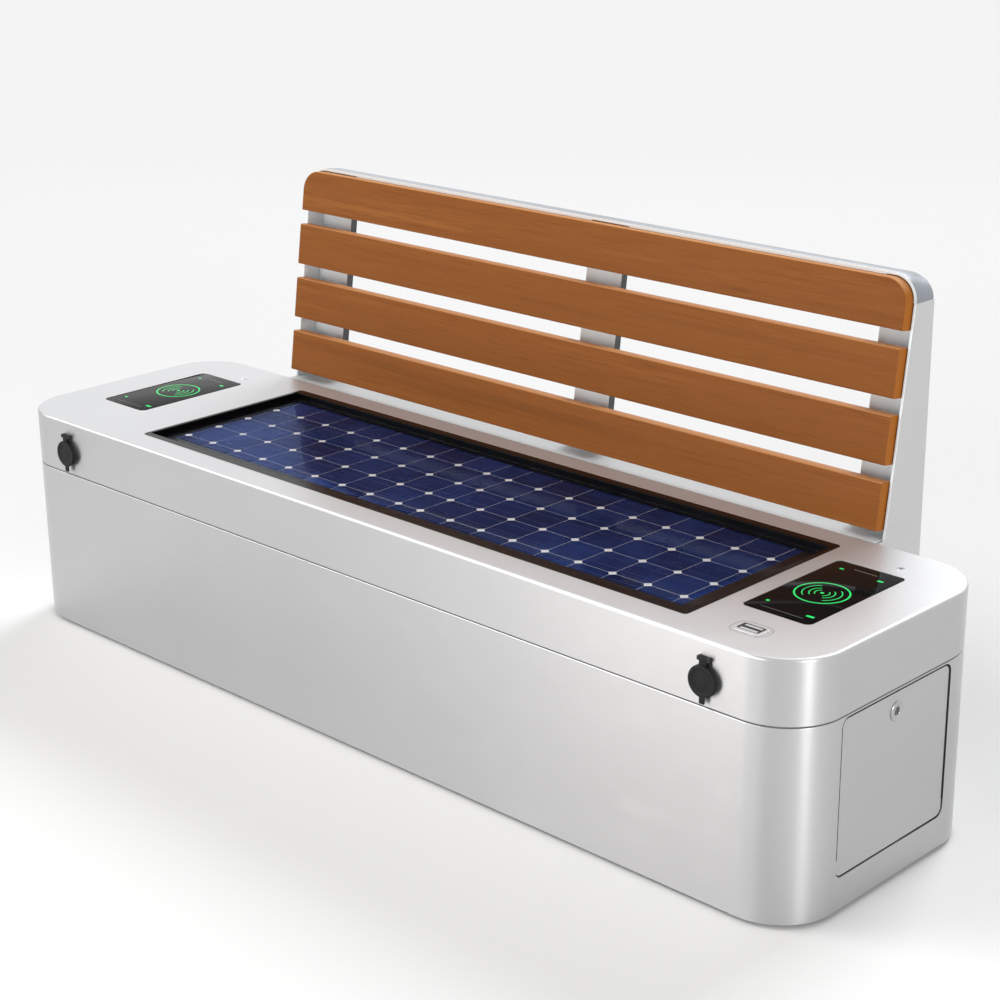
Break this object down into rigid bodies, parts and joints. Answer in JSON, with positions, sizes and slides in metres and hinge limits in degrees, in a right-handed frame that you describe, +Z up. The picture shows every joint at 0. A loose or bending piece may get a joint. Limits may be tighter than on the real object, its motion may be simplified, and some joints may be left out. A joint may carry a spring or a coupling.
{
  "type": "solar charging bench",
  "caption": "Stainless steel box bench with a solar panel, wireless chargers, USB and power outlets in its deck and front, and a slatted timber backrest.",
  "frame": {"origin": "on the floor, at the middle of the whole bench's length and depth", "axes": "+X along the bench to the right as seen from its front, -Y to the front, +Z up"},
  "size_m": [1.8, 0.612, 0.808],
  "materials": {
    "brushed_stainless": "satin brushed stainless sheet",
    "post_steel": "satin flat bar",
    "galvanised_steel": "zinc coated, dull",
    "converter_aluminium": "black anodised",
    "timber": "oiled timber, fine grain along the slats",
    "solar_glass": "clear toughened glass",
    "solar_cells": "dark blue cells with thin silver lines",
    "charger_glass": "black back-painted glass with a green ring",
    "black_rubber": "matt",
    "black_plastic": "fine moulded grain",
    "grey_plastic": "moulded",
    "battery_case": "moulded",
    "copper_wire": "enamelled copper winding",
    "chromed": "bright",
    "cable_sheath": "matt sheath"
  },
  "bodies": {
    "base": {"base_plate": "galvanised_steel", "battery_lead": "cable_sheath", "battery_pack": "battery_case", "battery_strap": "galvanised_steel", "charge_controller": "grey_plastic", "deck_hood": "brushed_stainless", "door_frame": "galvanised_steel", "door_hinge_rod": "chromed", "equipment_plate": "galvanised_steel", "foot_front_left": "black_rubber", "foot_front_right": "black_rubber", "foot_rear_left": "black_rubber", "foot_rear_right": "black_rubber", "front_rail": "galvanised_steel", "hood_seal": "black_rubber", "left_charger_coil": "copper_wire", "left_charger_glass": "charger_glass", "left_charger_housing": "black_plastic", "left_end_frame": "galvanised_steel", "left_light_sensor": "chromed", "left_middle_frame": "galvanised_steel", "left_post": "post_steel", "left_power_socket": "black_plastic", "left_side_plate": "brushed_stainless", "left_socket_nut": "galvanised_steel", "lower_beam": "brushed_stainless", "lower_shell": "brushed_stainless", "middle_post": "post_steel", "panel_lead": "cable_sheath", "power_converter": "converter_aluminium", "rear_panel": "brushed_stainless", "rear_rail": "galvanised_steel", "right_charger_coil": "copper_wire", "right_charger_glass": "charger_glass", "right_charger_housing": "black_plastic", "right_end_frame": "galvanised_steel", "right_light_sensor": "chromed", "right_middle_frame": "galvanised_steel", "right_post": "post_steel", "right_power_socket": "black_plastic", "right_side_plate": "brushed_stainless", "right_socket_nut": "galvanised_steel", "slat_1": "timber", "slat_2": "timber", "slat_3": "timber", "slat_4": "timber", "solar_cell_sheet": "solar_cells", "solar_frame": "black_plastic", "solar_glass": "solar_glass", "solar_junction_box": "black_plastic", "top_band": "brushed_stainless", "usb_module": "black_plastic", "usb_plate": "brushed_stainless"},
    "door": {"access_door": "brushed_stainless", "door_lock": "chromed"},
    "lock": {"lock_core": "chromed"},
    "left_cap": {"left_socket_cap": "black_rubber"},
    "right_cap": {"right_socket_cap": "black_rubber"}
  },
  "joints": [
    {"name": "door_hinge", "type": "hinge", "parent": "base", "child": "door", "pos_m": [0.893, -0.061, 0.072], "axis": [0, 1, 0], "range_deg": [0, 90]},
    {"name": "lock_turn", "type": "hinge", "parent": "door", "child": "lock", "pos_m": [0.887, -0.061, 0.272], "axis": [1, 0, 0], "range_deg": [0, 90]},
    {"name": "left_cap_hinge", "type": "hinge", "parent": "base", "child": "left_cap", "pos_m": [-0.742, -0.3023, 0.382], "axis": [-1, 0, 0], "range_deg": [0, 130]},
    {"name": "right_cap_hinge", "type": "hinge", "parent": "base", "child": "right_cap", "pos_m": [0.742, -0.3023, 0.382], "axis": [-1, 0, 0], "range_deg": [0, 130]}
  ]
}
